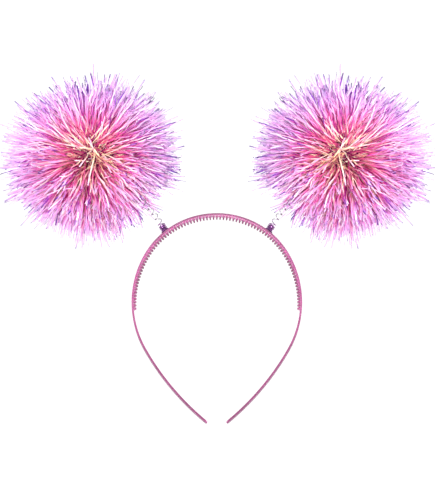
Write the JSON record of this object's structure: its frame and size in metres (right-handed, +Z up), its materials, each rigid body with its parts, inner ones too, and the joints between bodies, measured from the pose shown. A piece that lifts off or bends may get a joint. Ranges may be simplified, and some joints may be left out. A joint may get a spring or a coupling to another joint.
{
  "type": "pompom headband",
  "caption": "Slim springy hair band with comb teeth inside its crown and tinsel pompoms that stand up from it on coil springs.",
  "frame": {"origin": "where the band sits on the head: on the tooth tips, in the middle of the crown and of the band's depth", "axes": "+X to the right as seen from the front, +Y to the back of the head, +Z up"},
  "size_m": [0.3044, 0.1037, 0.2578],
  "materials": {
    "band_plastic": "moulded, glossy, slightly translucent pink",
    "post_plastic": "moulded, dark purple",
    "spring_wire": "drawn spring wire, bright",
    "tinsel_film": "slit iridescent film, crimson and cream at the heart, hot pink, then lilac at the tips"
  },
  "bodies": {
    "root": {"headband": "band_plastic", "post_left": "post_plastic", "post_right": "post_plastic", "spring_left": "spring_wire", "spring_right": "spring_wire", "pompom_left": "tinsel_film", "pompom_right": "tinsel_film"}
  },
  "joints": []
}
